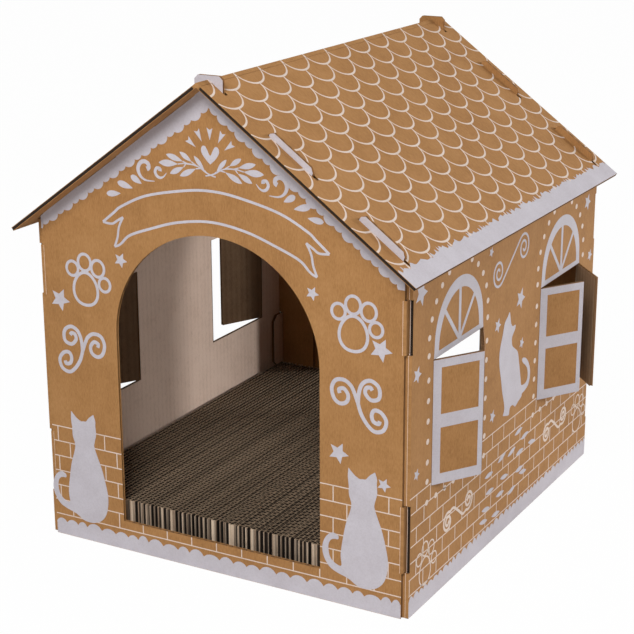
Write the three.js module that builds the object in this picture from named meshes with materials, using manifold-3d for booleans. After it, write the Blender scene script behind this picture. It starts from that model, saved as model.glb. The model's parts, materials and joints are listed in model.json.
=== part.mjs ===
// Cardboard cat house: a folded body with four shuttered windows, two gable walls,
// a roof sheet creased at the ridge and two scratching pads on the floor.
// Millimetres. X runs along the front wall, Y from the front to the back, Z up.
// The origin is on the ground under the middle of the house.

import * as THREE from 'three';
import { mergeVertices } from 'three/addons/utils/BufferGeometryUtils.js';
import Module from 'manifold-3d';

const wasm = await Module();
wasm.setup();

// The sheet and the clearances that let folded pieces meet
const board = 3;
const restGap = 0.3;
const slideGap = 0.4;
const cutOverrun = 1;

// Overall house
const houseWidth = 340;
const houseDepth = 390;
const wallHeight = 277.5;
const roofPitch = THREE.MathUtils.degToRad(36);
const eaveOverhang = 12;
const gableOverhang = 17;
const cornerInset = 5;

// Arched door in the front wall and in the rear wall
const doorWidth = 188;
const doorSill = 26;
const doorSpring = 190;

// Two windows in each side wall, closed by a pair of shutters each
const windowWidth = 94;
const windowHeight = 103;
const windowSill = 97;
const windowFromMiddle = 108;
const hingeGap = 0.3;
const meetingGap = 0.6;
const shutterEndGap = 0.5;

// How far each shutter stands open, in degrees: fore is the leaf nearer the front wall
const shutterAngles = {
  right: { front: { fore: 32, aft: 25 }, rear: { fore: 32, aft: 41 } },
  left: { front: { fore: 41, aft: 30 }, rear: { fore: 34, aft: 26 } },
};

// Tabs on the gable slopes that pass up through slits in the roof. Each rise is how far a tab
// stands above the roof, first the one nearer the ridge.
const tabLength = 46;
const tabRises = {
  front: { left: [0.8, 3], right: [4.5, 5.5] },
  rear: { left: [5, 5], right: [5, 5.5] },
};
const tabLean = 0.35;
const tabCorner = 2.5;
const tabFromRidge = 64;
const tabFromWallEdge = 3;
const apexTabWidth = 25;
const apexTabRise = 3;
const apexTabCorner = 3;
const slitEndGap = 1;

// Ridge: the narrow scored strip that both roof panels fold on
const ridgeHalfStrip = 4;

// Flanges folded in at the corners, and the lock flaps that pass back beside them
const flangeWidth = 40;
const lockReach = 20;
const lockCorner = 6;
const lockSlotGap = 0.6;
const lockSlotDepth = 2;
const lowerLockLength = 55;
const lowerLockHeight = 66;
const upperLockLength = 42;
const upperLockDrop = 42;

// Scratching pads: strips of corrugated board on edge, glued face to face
const padThickness = 38;
const stripThickness = 4.05;
const seamWidth = 0.9;
const seamDepth = 1.5;
const padSideGap = 0.9;
const padMiddleGap = 1;
const padEndGap = 2;

// Places worked out from the sizes above
const halfWidth = houseWidth / 2;
const halfDepth = houseDepth / 2;
const sideInner = halfWidth - board;
const gableInner = halfDepth - board;
const wallEdge = halfWidth - cornerInset;
const slope = Math.tan(roofPitch);
const roofDrop = board / Math.cos(roofPitch);
const ridgeHeight = wallHeight + restGap + roofDrop + halfWidth * slope;
const panelLength = (halfWidth + eaveOverhang) / Math.cos(roofPitch);
const roofHalfDepth = halfDepth + gableOverhang;
const lockOuter = sideInner - lockSlotGap;
const lockInner = lockOuter - board;
const upperLockHeight = wallHeight - upperLockDrop;
const tallestTab = Math.max(...Object.values(tabRises).flatMap((end) => [...end.left, ...end.right]));
const tabDepth = tallestTab + board;
const slitRelease = tabDepth * (slope - tabLean) + slitEndGap;
const lockSpans = [
  { name: 'lower', middle: lowerLockHeight, length: lowerLockLength },
  { name: 'upper', middle: upperLockHeight, length: upperLockLength },
];

// Colours of the finishes
const printed = new THREE.MeshStandardMaterial({ color: 0xb98a56, roughness: 0.85, metalness: 0 });
const roofed = new THREE.MeshStandardMaterial({ color: 0xb07f4c, roughness: 0.85, metalness: 0 });
const plain = new THREE.MeshStandardMaterial({ color: 0x9a7657, roughness: 0.9, metalness: 0 });
const scratched = new THREE.MeshStandardMaterial({ color: 0x6e5a46, roughness: 0.95, metalness: 0 });

const house = new THREE.Group();

function solidFrom(geometry) {
  const bare = geometry.clone();
  bare.deleteAttribute('normal');
  bare.deleteAttribute('uv');
  const merged = mergeVertices(bare);
  const vertProperties = new Float32Array(merged.attributes.position.array);
  const triVerts = new Uint32Array(merged.index.array);
  return new wasm.Manifold(new wasm.Mesh({ numProp: 3, vertProperties, triVerts }));
}

function geometryFrom(solid) {
  const { vertProperties, triVerts } = solid.getMesh();
  const geometry = new THREE.BufferGeometry();
  geometry.setAttribute('position', new THREE.BufferAttribute(vertProperties, 3));
  geometry.setIndex(new THREE.BufferAttribute(triVerts, 1));
  return geometry;
}

// A flat sheet of board cut to an outline, lying in the XY plane and rising by its thickness,
// with openings cut right through it
function cutSheet(shape, openings = []) {
  const sheet = new THREE.ExtrudeGeometry(shape, { depth: board, bevelEnabled: false });
  if (openings.length === 0) {
    return sheet;
  }
  const depth = board + 2 * cutOverrun;
  let solid = solidFrom(sheet);
  for (const opening of openings) {
    const punch = new THREE.ExtrudeGeometry(opening, { depth, bevelEnabled: false, curveSegments: 16 });
    solid = solid.subtract(solidFrom(punch.translate(0, 0, -cutOverrun)));
  }
  return geometryFrom(solid);
}

function addPiece(name, geometry, material, parent = house) {
  const piece = new THREE.Mesh(geometry, material);
  piece.name = name;
  parent.add(piece);
  return piece;
}

// A sheet drawn as (x, z) and stood up, its inner or outer face at y
function standAcross(piece, y) {
  piece.rotation.set(Math.PI / 2, 0, 0);
  piece.position.y = y;
}

// A sheet drawn as (y, z) and stood up, its nearest face at x
function standAlong(piece, x) {
  piece.rotation.set(Math.PI / 2, Math.PI / 2, 0);
  piece.position.x = x;
}

function shapeFrom(points) {
  return new THREE.Shape(points.map(([a, b]) => new THREE.Vector2(a, b)));
}

function rectangle(left, bottom, right, top) {
  return [[left, bottom], [right, bottom], [right, top], [left, top]];
}

// A point on a roof slope: s runs down the slope from the ridge and n stands off the outer face
function onSlope(side, s, n) {
  const x = s * Math.cos(roofPitch) + n * Math.sin(roofPitch);
  const z = ridgeHeight - s * Math.sin(roofPitch) + n * Math.cos(roofPitch);
  return [side * x, z];
}

// Where the two tabs of one gable slope start and end, down the slope from the ridge
const wallEdgeOnSlope = wallEdge / Math.cos(roofPitch) + board * slope;
const tabSpans = [
  { start: tabFromRidge, end: tabFromRidge + tabLength },
  { start: wallEdgeOnSlope - tabFromWallEdge - tabLength, end: wallEdgeOnSlope - tabFromWallEdge },
];

// One tab from its ridge side to its eave side, the eave side leaning so that the roof lifts off
function tabPoints(side, span, tabRise) {
  const root = -board - restGap;
  const leanAt = (n) => tabLean * (n + board);
  return [
    onSlope(side, span.start, root),
    onSlope(side, span.start, tabRise - tabCorner),
    onSlope(side, span.start + tabCorner, tabRise),
    onSlope(side, span.end - leanAt(tabRise) - tabCorner, tabRise),
    onSlope(side, span.end - leanAt(tabRise - tabCorner), tabRise - tabCorner),
    onSlope(side, span.end, root),
  ];
}

// Outline of a gable wall: sides notched where the lock flaps fold back, slopes with their tabs
function gableShape(rises) {
  const underRoof = (x) => wallHeight + (halfWidth - x) * slope;
  const apexHalf = apexTabWidth / 2;
  const apexTop = ridgeHeight + apexTabRise;
  function halfOutline(tabs) {
    const points = [[wallEdge, 0]];
    for (const lock of lockSpans) {
      const low = lock.middle - lock.length / 2;
      const high = lock.middle + lock.length / 2;
      points.push([wallEdge, low], [lockInner, low], [lockInner, high], [wallEdge, high]);
    }
    points.push([wallEdge, underRoof(wallEdge)]);
    const fromRidge = tabSpans.flatMap((span, index) => tabPoints(1, span, tabs[index]));
    points.push(...fromRidge.reverse());
    points.push([apexHalf, underRoof(apexHalf)]);
    points.push([apexHalf, apexTop - apexTabCorner]);
    points.push([apexHalf - apexTabCorner, apexTop]);
    return points;
  }
  const leftSide = halfOutline(rises.left).map(([x, z]) => [-x, z]).reverse();
  return shapeFrom([...halfOutline(rises.right), ...leftSide]);
}

function doorShape() {
  const half = doorWidth / 2;
  const arch = new THREE.Shape();
  arch.moveTo(-half, doorSill);
  arch.lineTo(half, doorSill);
  arch.lineTo(half, doorSpring);
  arch.absarc(0, doorSpring, half, 0, Math.PI, false);
  return arch;
}

// Gable walls: both are cut from the same sheet, each with a door
const frontWall = cutSheet(gableShape(tabRises.front), [doorShape()]);
const rearWall = cutSheet(gableShape(tabRises.rear), [doorShape()]);
standAcross(addPiece('front_wall', frontWall, printed), -gableInner);
standAcross(addPiece('rear_wall', rearWall, printed), halfDepth);

// Side walls: each end is notched where the corner slots are cut through the crease
function sideWallShape() {
  const end = gableInner;
  const frontEdge = [];
  for (const lock of lockSpans) {
    const low = lock.middle - lock.length / 2 - slideGap;
    const high = lock.middle + lock.length / 2 + slideGap;
    frontEdge.push([end, low], [end - lockSlotDepth, low], [end - lockSlotDepth, high], [end, high]);
  }
  const rearEnd = [[end, 0], ...frontEdge, [end, wallHeight]];
  const frontEnd = rearEnd.map(([y, z]) => [-y, z]).reverse();
  return shapeFrom([...rearEnd, ...frontEnd]);
}

function windowShapes() {
  return [-windowFromMiddle, windowFromMiddle].map((middle) => {
    const low = middle - windowWidth / 2;
    const high = middle + windowWidth / 2;
    return shapeFrom(rectangle(low, windowSill, high, windowSill + windowHeight));
  });
}
standAlong(addPiece('left_wall', cutSheet(sideWallShape(), windowShapes()), printed), -halfWidth);
standAlong(addPiece('right_wall', cutSheet(sideWallShape(), windowShapes()), printed), sideInner);

// Floor between the side walls, narrowed at each end to pass between the corner flanges
const floorEnd = gableInner - board;
const flangeInner = sideInner - flangeWidth;

function floorShape() {
  const neck = flangeInner - slideGap;
  const corner = [[sideInner, floorEnd], [neck, floorEnd], [neck, gableInner]];
  const rearLeft = corner.map(([x, y]) => [-x, y]).reverse();
  const frontLeft = corner.map(([x, y]) => [-x, -y]);
  const frontRight = corner.map(([x, y]) => [x, -y]).reverse();
  return shapeFrom([...corner, ...rearLeft, ...frontLeft, ...frontRight]);
}
addPiece('floor_panel', cutSheet(floorShape()), plain);

// Corner flanges, folded in from the side walls behind the gable walls
function flangeShape(side) {
  const outerEdge = [[sideInner, 0]];
  for (const lock of lockSpans) {
    const low = lock.middle - lock.length / 2 - slideGap;
    const high = lock.middle + lock.length / 2 + slideGap;
    const slotEdge = lockInner - slideGap;
    outerEdge.push([sideInner, low], [slotEdge, low], [slotEdge, high], [sideInner, high]);
  }
  outerEdge.push([sideInner, wallHeight]);
  const points = [[flangeInner, 0], ...outerEdge, [flangeInner, wallHeight]];
  return shapeFrom(points.map(([x, z]) => [side * x, z]));
}

// Lock flap, bent back from a gable wall's side edge and lying beside the side wall
function lockShape(lock, outward) {
  const low = lock.middle - lock.length / 2;
  const high = lock.middle + lock.length / 2;
  const tip = gableInner - lockReach;
  const points = [
    [halfDepth, low],
    [tip + lockCorner, low],
    [tip, low + lockCorner],
    [tip, high - lockCorner],
    [tip + lockCorner, high],
    [halfDepth, high],
  ];
  return shapeFrom(points.map(([y, z]) => [outward * y, z]));
}

for (const [sideName, side] of [['left', -1], ['right', 1]]) {
  for (const [endName, outward] of [['front', -1], ['rear', 1]]) {
    const flange = addPiece(`${endName}_${sideName}_flange`, cutSheet(flangeShape(side)), plain);
    standAcross(flange, outward > 0 ? gableInner : -floorEnd);
    for (const lock of lockSpans) {
      const name = `${endName}_${sideName}_${lock.name}_lock`;
      const flap = addPiece(name, cutSheet(lockShape(lock, outward)), printed);
      standAlong(flap, side > 0 ? lockInner : -lockOuter);
    }
  }
}

// Shutters: each turns on the outer edge of its window jamb
const shutterWidth = windowWidth / 2 - hingeGap - meetingGap / 2;
const shutterHeight = windowHeight - 2 * shutterEndGap;

function shutterShape(reach) {
  const points = rectangle(hingeGap, shutterEndGap, hingeGap + shutterWidth, shutterEndGap + shutterHeight);
  return shapeFrom(points.map(([y, z]) => [reach * y, z]));
}

for (const [sideName, side] of [['left', -1], ['right', 1]]) {
  for (const [endName, end] of [['front', -1], ['rear', 1]]) {
    for (const [leafName, reach] of [['fore', 1], ['aft', -1]]) {
      const hinge = new THREE.Group();
      const jamb = end * windowFromMiddle - reach * windowWidth / 2;
      hinge.position.set(side * halfWidth, jamb, windowSill);
      hinge.rotation.z = -side * reach * THREE.MathUtils.degToRad(shutterAngles[sideName][endName][leafName]);
      const name = `${sideName}_${endName}_${leafName}_shutter`;
      const leaf = addPiece(name, cutSheet(shutterShape(reach)), printed, hinge);
      standAlong(leaf, side > 0 ? -board : 0);
      house.add(hinge);
    }
  }
}

// Roof panels, drawn flat with their slits and then turned to the pitch about the ridge
const ridgeSlitEnd = apexTabWidth / 2 / Math.cos(roofPitch) + board * slope + slitEndGap;
const panelStart = ridgeHalfStrip + restGap;

function roofShape(side) {
  return shapeFrom(rectangle(side * panelStart, -roofHalfDepth, side * panelLength, roofHalfDepth));
}

// Slits in one panel: its half of the two apex slits, and one for each slope tab
function slitShapes(side) {
  const spans = tabSpans.map(({ start, end }) => ({ from: start - slitEndGap, to: end + slitRelease }));
  spans.push({ from: 0, to: ridgeSlitEnd });
  return spans.flatMap(({ from, to }) => [-1, 1].map((end) => {
    const inner = end * (gableInner - slideGap);
    const outer = end * (halfDepth + slideGap);
    return shapeFrom(rectangle(side * from, inner, side * to, outer));
  }));
}

for (const [sideName, side] of [['left', -1], ['right', 1]]) {
  const turned = new THREE.Group();
  turned.position.z = ridgeHeight;
  turned.rotation.y = side * roofPitch;
  const panel = addPiece(`roof_${sideName}_panel`, cutSheet(roofShape(side), slitShapes(side)), roofed, turned);
  panel.position.z = -board;
  house.add(turned);
}

// Ridge strip: scored board bent over the ridge, cut through where the apex tabs come up
function ridgeSection() {
  return shapeFrom([
    onSlope(1, ridgeHalfStrip, -board),
    onSlope(1, ridgeHalfStrip, 0),
    [0, ridgeHeight],
    onSlope(-1, ridgeHalfStrip, 0),
    onSlope(-1, ridgeHalfStrip, -board),
    [0, ridgeHeight - roofDrop],
  ]);
}

const ridgeStretches = [
  ['front', -roofHalfDepth, -halfDepth - slideGap],
  ['middle', -gableInner + slideGap, gableInner - slideGap],
  ['rear', halfDepth + slideGap, roofHalfDepth],
];
for (const [name, from, to] of ridgeStretches) {
  const stretch = new THREE.ExtrudeGeometry(ridgeSection(), { depth: to - from, bevelEnabled: false });
  standAcross(addPiece(`ridge_crease_${name}`, stretch, roofed), to);
}

// Scratching pads, side by side on the floor
const padOuter = lockInner - padSideGap;
const padInner = padMiddleGap / 2;
const padHalfLength = floorEnd - padEndGap;
const stripCount = Math.max(1, Math.round((padOuter - padInner) / stripThickness));
const stripPitch = (padOuter - padInner) / stripCount;

// Section across a pad: a groove between each strip and the next, above and below
function padSection(side) {
  const half = padThickness / 2;
  const across = [[padInner, 0]];
  for (let i = 1; i < stripCount; i += 1) {
    const seam = padInner + i * stripPitch;
    across.push([seam - seamWidth / 2, 0], [seam, seamDepth], [seam + seamWidth / 2, 0]);
  }
  across.push([padOuter, 0]);
  const top = across.map(([x, sunk]) => [side * x, half - sunk]).reverse();
  const bottom = across.map(([x, sunk]) => [side * x, sunk - half]);
  return shapeFrom([...bottom, ...top]);
}

for (const [sideName, side] of [['left', -1], ['right', 1]]) {
  const block = new THREE.ExtrudeGeometry(padSection(side), { depth: 2 * padHalfLength, bevelEnabled: false });
  const pad = addPiece(`${sideName}_scratch_pad`, block, scratched);
  standAcross(pad, padHalfLength);
  pad.position.z = board + restGap + padThickness / 2;
}

export default house;
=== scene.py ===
"""A cat house of printed corrugated board with two scratching pads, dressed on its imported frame."""

import json
import random
from math import atan2, ceil, cos, hypot, log, pi, radians, sin

import bpy
import numpy as np
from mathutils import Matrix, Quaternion, Vector
from mathutils.geometry import tessellate_polygon

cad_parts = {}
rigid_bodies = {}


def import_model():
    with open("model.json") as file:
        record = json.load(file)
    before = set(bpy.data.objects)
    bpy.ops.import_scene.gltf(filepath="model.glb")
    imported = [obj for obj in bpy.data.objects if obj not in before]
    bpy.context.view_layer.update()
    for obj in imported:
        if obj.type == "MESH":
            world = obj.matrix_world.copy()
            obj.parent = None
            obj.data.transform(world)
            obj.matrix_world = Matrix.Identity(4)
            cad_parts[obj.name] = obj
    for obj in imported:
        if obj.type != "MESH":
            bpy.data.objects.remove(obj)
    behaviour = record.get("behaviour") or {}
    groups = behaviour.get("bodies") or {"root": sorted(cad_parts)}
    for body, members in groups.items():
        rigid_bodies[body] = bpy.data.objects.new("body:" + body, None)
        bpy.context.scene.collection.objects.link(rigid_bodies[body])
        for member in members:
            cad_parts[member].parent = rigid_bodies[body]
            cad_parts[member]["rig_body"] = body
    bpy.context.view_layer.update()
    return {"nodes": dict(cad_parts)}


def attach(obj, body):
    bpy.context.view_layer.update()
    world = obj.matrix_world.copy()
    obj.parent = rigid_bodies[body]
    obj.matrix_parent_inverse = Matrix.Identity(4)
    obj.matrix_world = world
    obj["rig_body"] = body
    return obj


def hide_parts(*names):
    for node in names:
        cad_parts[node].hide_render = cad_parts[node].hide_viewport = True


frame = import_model()
nodes = frame["nodes"]

# Everything is drawn in millimetres and placed in metres
MM = 0.001
TURN = 2 * pi
TINY = 1e-9

# The house, as the frame has it
HALF_WIDTH = 170
HALF_DEPTH = 195
WALL_EDGE = 165
GABLE_INNER = 192
RIDGE_HEIGHT = 405.02
PITCH = radians(36)
SLOPE_LENGTH = 224.96
RIDGE_STRIP = 4
DOOR_ARCH = ((0, 190), 94)
WINDOW_MIDDLE = 108
LOCK_STAND = 166.4

# Where a board's edges are told apart: points nearer to a line than this are on it, and creases,
# slots and the roof's ends lie further out than these
NEAR = 0.1
FLANGE_FOLD = 166.5
SLOT_INNER = 180
ROOF_END = 205

# Corrugated board: two liners with a waved sheet between them; its dark edges are painted shade.
# The waved sheet is parted where an edge jumps by more than the largest step.
BOARD = 3
LINER = 0.35
MEDIUM = 0.25
FLUTE_PITCH = 6.4
FLUTE_STEPS = 8
LARGEST_STEP = 2.5
PAINTED_SHADE_REACH = (0.2, 0.6)

# The pads' thicker board, and how deep the pale ends and cut upper edges of its strips are
PAD_STRIP = 4.05
PAD_STRIPS = 40
PAD_LOW = 3.3
PAD_HIGH = 41.3
PAD_HALF_LENGTH = 187
PAD_SIDE_START = 0.5
PAD_FLUTE = 6.7
PAD_LINER = 0.22
PAD_MEDIUM = 0.32
PAD_PALE_ENDS = 2.2
PAD_PALE_TOP = 0.7

# White ink stands this far off the liner: lines, filled shapes, and what lies over the bricks. Its
# underside is sunk into the liner. Shapes of ink differ a little in height, each from the next, so
# that no two that meet share a plane.
INK_THIN = 0.05
INK_SNOW = 0.07
INK_THICK = 0.08
INK_OVER = 0.15
INK_SUNK = 0.02
INK_STEP = 0.012
INK_STEPS = 7

# A line of ink is drawn in steps no longer than this
STROKE_STEP = 1.6


# Shader arithmetic


def rgb(red, green, blue):
    """A screen colour, 0 to 255, as a linear colour."""

    def linear(level):
        level = level / 255
        return level / 12.92 if level <= 0.04045 else ((level + 0.055) / 1.055) ** 2.4

    return (linear(red), linear(green), linear(blue), 1.0)


class Value:
    """A number or vector from a node. Arithmetic on it adds Math nodes."""

    def __init__(self, finish, socket):
        self.finish = finish
        self.socket = socket

    def math(self, operation, first, second=0.0):
        return self.finish.add("ShaderNodeMath", {"operation": operation}, {0: first, 1: second})

    def __add__(self, other):
        return self.math("ADD", self, other)

    def __radd__(self, other):
        return self.math("ADD", other, self)

    def __sub__(self, other):
        return self.math("SUBTRACT", self, other)

    def __rsub__(self, other):
        return self.math("SUBTRACT", other, self)

    def __mul__(self, other):
        return self.math("MULTIPLY", self, other)

    def __rmul__(self, other):
        return self.math("MULTIPLY", other, self)

    def sine(self):
        return self.math("SINE", self)

    def highest(self, other):
        return self.math("MAXIMUM", self, other)

    def above(self, edge, width):
        """0 below the edge and 1 above it, over the width given."""
        settings = {"interpolation_type": "SMOOTHSTEP"}
        sockets = {0: self, 1: edge - width / 2, 2: edge + width / 2}
        return self.finish.add("ShaderNodeMapRange", settings, sockets)


class Finish:
    """A node tree and the one method that adds its nodes."""

    def __init__(self, owner):
        self.owner = owner
        owner.use_nodes = True
        self.tree = owner.node_tree
        self.tree.nodes.clear()

    def add(self, kind, settings, sockets, output=0):
        """A new node of that kind, its settings first, then the values or links of its sockets."""
        node = self.tree.nodes.new(kind)
        for name, setting in settings.items():
            if name == "stops":
                self.set_stops(node.color_ramp, setting)
            else:
                setattr(node, name, setting)
        for name, value in sockets.items():
            if isinstance(value, Value):
                self.tree.links.new(value.socket, node.inputs[name])
            else:
                node.inputs[name].default_value = value
        return Value(self, node.outputs[output]) if node.outputs else None

    def set_stops(self, ramp, stops):
        while len(ramp.elements) < len(stops):
            ramp.elements.new(0.5)
        for element, (place, colour) in zip(ramp.elements, stops):
            element.position = place
            element.color = colour

    def blend(self, share, first, second):
        """The first colour where share is 0 and the second where it is 1."""
        settings = {"data_type": "RGBA"}
        return self.add("ShaderNodeMix", settings, {0: share, 6: first, 7: second}, 2)

    def noise(self, where, scale, detail, roughness=0.5):
        sockets = {"Vector": where, "Scale": scale, "Detail": detail, "Roughness": roughness}
        return self.add("ShaderNodeTexNoise", {}, sockets)

    def grain(self, where, across, along, detail, roughness=0.5, out=1.0):
        """Noise with its own scale in each of the three directions."""
        settings = {"operation": "MULTIPLY"}
        scaled = self.add("ShaderNodeVectorMath", settings, {0: where, 1: (across, along, out)})
        return self.noise(scaled, 1.0, detail, roughness)

    def on_board(self):
        """Where a point is on its own board, in metres, and how far that is across the flutes."""
        place = self.add("ShaderNodeUVMap", {"uv_map": "board"}, {})
        return place, self.add("ShaderNodeSeparateXYZ", {}, {0: place})

    def in_space(self, axis=2):
        """Where a point is on its piece, in metres, and how far that is along one axis."""
        place = self.add("ShaderNodeTexCoord", {}, {}, 3)
        return place, self.add("ShaderNodeSeparateXYZ", {}, {0: place}, axis)

    def surface(self, colour, roughness, height, strength, distance, specular=0.25):
        """The finished material, its height shown as a bump of that strength and distance."""
        sockets = {"Strength": strength, "Distance": distance, "Height": height}
        normal = self.add("ShaderNodeBump", {}, sockets)
        sockets = {
            "Base Color": colour,
            "Roughness": roughness,
            "Specular IOR Level": specular,
            "Normal": normal,
        }
        shader = self.add("ShaderNodeBsdfPrincipled", {}, sockets)
        self.add("ShaderNodeOutputMaterial", {}, {"Surface": shader})
        return self.owner


# Finishes


def kraft_liner(name, tones, flute_shade, flute_height, on_board=True):
    """Brown kraft paper: soft blotches, fine fibres, and the flutes showing through."""
    finish = Finish(bpy.data.materials.new(name))
    pale, plain, dark = (rgb(*tone) for tone in tones)
    place, across = finish.on_board() if on_board else finish.in_space(1)
    blotch = finish.noise(place, 14, 3, 0.55)
    cloud = finish.noise(place, 55, 3, 0.6)
    fibre = finish.grain(place, 900, 260, 3, 0.65)
    grit = finish.noise(place, 1500, 1)
    sway = finish.grain(place, 18, 1.5, 1) * 0.0022
    flute = ((across + sway) * (TURN / (FLUTE_PITCH * MM))).sine()
    rib = finish.grain(place, 620, 2.5, 2, 0.6)
    uneven = finish.grain(place, 60, 9, 2)
    tone = 0.5 + (blotch - 0.5) * 0.4 + (cloud - 0.5) * 0.3 + (fibre - 0.5) * 0.7
    tone = tone + (flute * uneven * 0.5 + (rib - 0.5)) * flute_shade
    stops = [(0.18, dark), (0.5, plain), (0.85, pale)]
    colour = finish.add("ShaderNodeValToRGB", {"stops": stops}, {0: tone})
    colour = finish.blend(grit.above(0.69, 0.06) * 0.4, colour, dark)
    height = fibre * 0.25 + grit * 0.15 + flute * flute_height
    return finish.surface(colour, 0.74 + fibre * 0.2, height, 0.35, 0.0004)


def waved_medium():
    """The waved sheet inside the board, and the cut edges where it shows."""
    finish = Finish(bpy.data.materials.new("waved_medium"))
    place = finish.on_board()[0]
    fibre = finish.grain(place, 700, 300, 3, 0.6)
    streak = finish.grain(place, 160, 25, 2)
    tone = fibre * 0.6 + streak * 0.4
    colour = finish.blend(tone, rgb(108, 78, 52), rgb(152, 116, 82))
    return finish.surface(colour, 0.8 + fibre * 0.15, fibre, 0.4, 0.0003)


def pad_board():
    """Recycled board of the pads: near black all over as painted shade in its cells; its cut upper
    edges and its ends paler and fuzzy.
    """
    finish = Finish(bpy.data.materials.new("pad_board"))
    where, height = finish.in_space()
    along = finish.add("ShaderNodeSeparateXYZ", {}, {0: where}, 1)
    fibre = finish.noise(where, 900, 3, 0.6)
    strip = finish.grain(where, 330, 6, 2, 0.7, 6)
    tone = fibre * 0.4 + strip.above(0.5, 0.3) * 0.6
    # Near black: painted shade in the hollows between the strips and their flutes
    colour = finish.blend(tone, rgb(20, 14, 10), rgb(41, 30, 22))
    ends = finish.blend(tone, rgb(136, 108, 86), rgb(244, 222, 196))
    pale_from = (PAD_HALF_LENGTH - PAD_PALE_ENDS) * MM
    end_share = along.highest(0.0 - along).above(pale_from, 1.6 * MM)
    colour = finish.blend(end_share, colour, ends)
    cut = height.above((PAD_HIGH - PAD_PALE_TOP) * MM, 0.8 * MM)
    colour = finish.blend(cut * (0.04 + fibre * 0.95), colour, rgb(208, 180, 150))
    return finish.surface(colour, 0.82 + fibre * 0.14, fibre, 0.5, 0.0003)


def white_ink(name, thin, full):
    """Matt white ink on kraft: a little of the paper's fibres comes through."""
    finish = Finish(bpy.data.materials.new(name))
    where = finish.in_space()[0]
    fibre = finish.noise(where, 700, 3, 0.65)
    cloud = finish.noise(where, 45, 3, 0.6)
    tone = (0.5 + (cloud - 0.5) * 0.8 + (fibre - 0.5) * 0.9).above(0.5, 0.9)
    colour = finish.blend(tone, thin, full)
    colour = finish.blend(fibre.above(0.7, 0.1) * 0.35, colour, rgb(176, 146, 118))
    return finish.surface(colour, 0.62 + fibre * 0.2, fibre, 0.25, 0.0002, 0.3)


# Each liner's tones are its pale, plain and dark ones
FACE_TONES = ((189, 142, 93), (172, 125, 76), (144, 100, 58))
# Inner liner: its own paler pinkish kraft, lightened further as painted light for the lit inner walls
BACK_LINER_PAINTED_LIGHT_TONES = ((241, 216, 198), (233, 206, 187), (208, 179, 158))
# Shutters' backs: the walls' inner liner, darkened and greyed as painted shade for leaves in the
# house's shadow
PAINTED_SHADE_LEAF_TONES = ((150, 122, 94), (135, 107, 80), (110, 85, 61))
# Near black: painted shade, a sheet standing in for the shade deep in the flute mouths
PAINTED_SHADE_LINER_TONES = ((44, 30, 20), (34, 23, 15), (24, 16, 10))
kraft_face = kraft_liner("kraft_face", FACE_TONES, 0.06, 0.03)
kraft_ridge = kraft_liner("kraft_ridge", FACE_TONES, 0.06, 0.03, on_board=False)
back_liner_tone_and_painted_light = kraft_liner("back_liner_tone_and_painted_light", BACK_LINER_PAINTED_LIGHT_TONES, 0.2, 0.05)
leaf_back_painted_shade = kraft_liner("leaf_back_painted_shade", PAINTED_SHADE_LEAF_TONES, 0.3, 0.1)
# Painted shade for the flute mouths along cut edges
painted_shade_liner = kraft_liner("painted_shade_liner", PAINTED_SHADE_LINER_TONES, 0.1, 0.0)
medium_sheet = waved_medium()
pad_finish = pad_board()
ink_full = white_ink("white_ink_full", rgb(192, 185, 191), rgb(210, 205, 212))
ink_line = white_ink("white_ink_line", rgb(218, 198, 182), rgb(234, 217, 206))


# Points and rings


def around(centre, turn, wide, high=None):
    """The point at that turn on a circle, or on an oval where two radii are given."""
    high = wide if high is None else high
    return (centre[0] + wide * cos(turn), centre[1] + high * sin(turn))


def rectangle(left, low, right, high):
    return [(left, low), (right, low), (right, high), (left, high)]


def edges_of(ring):
    """Each point of a ring with the one after it."""
    return zip(ring, ring[1:] + ring[:1])


def span(ring, axis=0):
    """The lowest and the highest place of a ring's points across, or up."""
    places = [point[axis] for point in ring]
    return min(places), max(places)


def left_of(along):
    """The direction to the left of that one, of length 1."""
    return np.array([-along[1], along[0]]) / np.hypot(*along)


def lengths(steps):
    return np.hypot(steps[:, 0], steps[:, 1])


# Drawing on boards


class Face:
    """A flat side of a board. Across and up lie on it and out stands off it."""

    def __init__(self, corner, across, up, out):
        self.corner = np.array(corner, float)
        self.axes = np.array([across, up, out], float)
        self.turned = np.linalg.det(self.axes) < 0

    def place(self, points):
        """Points (across, up, out) in millimetres as points of the frame in metres."""
        return (self.corner + np.asarray(points, float) @ self.axes) * MM

    def measure(self, points):
        """Points of the frame in metres as (across, up, out) in millimetres."""
        return (np.asarray(points, float) / MM - self.corner) @ self.axes.T


def gable_face(end, stand_off=HALF_DEPTH):
    return Face((0, end * stand_off, 0), (1, 0, 0), (0, 0, 1), (0, end, 0))


def side_face(side, stand_off=HALF_WIDTH):
    return Face((side * stand_off, 0, 0), (0, 1, 0), (0, 0, 1), (side, 0, 0))


def roof_face(side):
    down = (side * cos(PITCH), 0, -sin(PITCH))
    out = (side * sin(PITCH), 0, cos(PITCH))
    return Face((0, 0, RIDGE_HEIGHT), (0, 1, 0), down, out)


def new_object(name, data):
    made = bpy.data.objects.new(name, data)
    bpy.context.scene.collection.objects.link(made)
    return made


def node_points(node):
    return np.array([v.co for v in nodes[node].data.vertices])


def leaf_face(node, side):
    """The printed side of a shutter as it stands: across runs from its hinge to its free edge."""
    points = node_points(node) / MM
    foot = points[points[:, 2] < points[:, 2].mean()]
    spread = foot[:, :2] - foot[:, :2].mean(axis=0)
    along = np.linalg.svd(spread, full_matrices=False)[2][0]
    along = along * side * np.sign(along[0])
    out = np.array([along[1], -along[0]])
    out = out * side * np.sign(out[0])
    hinge = foot[np.argmax(foot[:, :2] @ (out - along))]
    return Face(hinge, (*along, 0), (0, 0, 1), (*out, 0))


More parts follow.
